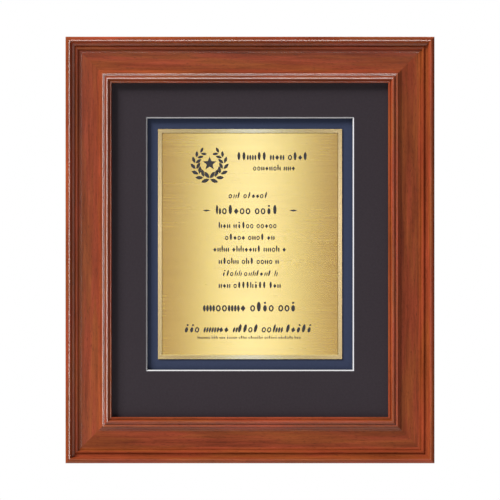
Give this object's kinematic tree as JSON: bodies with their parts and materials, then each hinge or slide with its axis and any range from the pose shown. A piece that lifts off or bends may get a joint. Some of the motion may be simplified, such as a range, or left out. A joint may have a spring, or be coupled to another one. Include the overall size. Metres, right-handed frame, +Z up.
{
  "type": "framed plaque",
  "caption": "Award plaque: a bevelled gold-coloured metal plate on a black and blue double mat, in a mitred moulded hardwood frame with wall hangers.",
  "frame": {"origin": "on the wall plane, behind the middle of the frame, where the bumpers' rear faces touch the wall", "axes": "+Z up, -Y towards the viewer in front, +X to the right as seen from the front"},
  "size_m": [0.4064, 0.0318, 0.47],
  "materials": {
    "frame_wood": "satin lacquered mahogany colour moulding",
    "mat_black": "matt black mat board with a white core",
    "mat_blue": "matt dark blue mat board",
    "plate_gold": "brushed from side to side, clear lacquered",
    "foam_white": "matt closed-cell foam",
    "filler_white": "matt foam-centre board",
    "hardboard": "smooth brown hardboard",
    "zinc": "bright zinc plate",
    "steel": "plain steel",
    "bumper_rubber": "matt rubber"
  },
  "bodies": {
    "frame": {"rail_top": "frame_wood", "rail_bottom": "frame_wood", "rail_left": "frame_wood", "rail_right": "frame_wood", "v_nails": "steel", "window_mat": "mat_black", "spacer_top": "foam_white", "spacer_bottom": "foam_white", "spacer_left": "foam_white", "spacer_right": "foam_white", "backing_mat": "mat_blue", "plate": "plate_gold", "plate_tape": "foam_white", "filler_board": "filler_white", "back_panel": "hardboard", "turn_button_screws": "zinc", "hanger_left": "zinc", "hanger_right": "zinc", "hanger_screws": "zinc", "bumpers": "bumper_rubber"},
    "turn_button_top": {"turn_button_top": "zinc"},
    "turn_button_bottom": {"turn_button_bottom": "zinc"},
    "turn_button_left_upper": {"turn_button_left_upper": "zinc"},
    "turn_button_left_lower": {"turn_button_left_lower": "zinc"},
    "turn_button_right_upper": {"turn_button_right_upper": "zinc"},
    "turn_button_right_lower": {"turn_button_right_lower": "zinc"},
    "d_ring_left": {"d_ring_left": "zinc"},
    "d_ring_right": {"d_ring_right": "zinc"}
  },
  "joints": [
    {"name": "turn_button_top_turn", "type": "hinge", "parent": "frame", "child": "turn_button_top", "pos_m": [0, -0.0048, 0.1995], "axis": [0, 1, 0], "continuous": true},
    {"name": "turn_button_bottom_turn", "type": "hinge", "parent": "frame", "child": "turn_button_bottom", "pos_m": [0, -0.0048, -0.1995], "axis": [0, 1, 0], "continuous": true},
    {"name": "turn_button_left_upper_turn", "type": "hinge", "parent": "frame", "child": "turn_button_left_upper", "pos_m": [-0.16775, -0.0048, 0.12], "axis": [0, 1, 0], "continuous": true},
    {"name": "turn_button_left_lower_turn", "type": "hinge", "parent": "frame", "child": "turn_button_left_lower", "pos_m": [-0.16775, -0.0048, -0.12], "axis": [0, 1, 0], "continuous": true},
    {"name": "turn_button_right_upper_turn", "type": "hinge", "parent": "frame", "child": "turn_button_right_upper", "pos_m": [0.16775, -0.0048, 0.12], "axis": [0, 1, 0], "continuous": true},
    {"name": "turn_button_right_lower_turn", "type": "hinge", "parent": "frame", "child": "turn_button_right_lower", "pos_m": [0.16775, -0.0048, -0.12], "axis": [0, 1, 0], "continuous": true},
    {"name": "d_ring_left_swing", "type": "hinge", "parent": "frame", "child": "d_ring_left", "pos_m": [-0.16575, -0.00292, 0.078], "axis": [0, 0, 1], "range_deg": [-3, 160]},
    {"name": "d_ring_right_swing", "type": "hinge", "parent": "frame", "child": "d_ring_right", "pos_m": [0.16575, -0.00292, 0.078], "axis": [0, 0, -1], "range_deg": [-3, 160]}
  ]
}
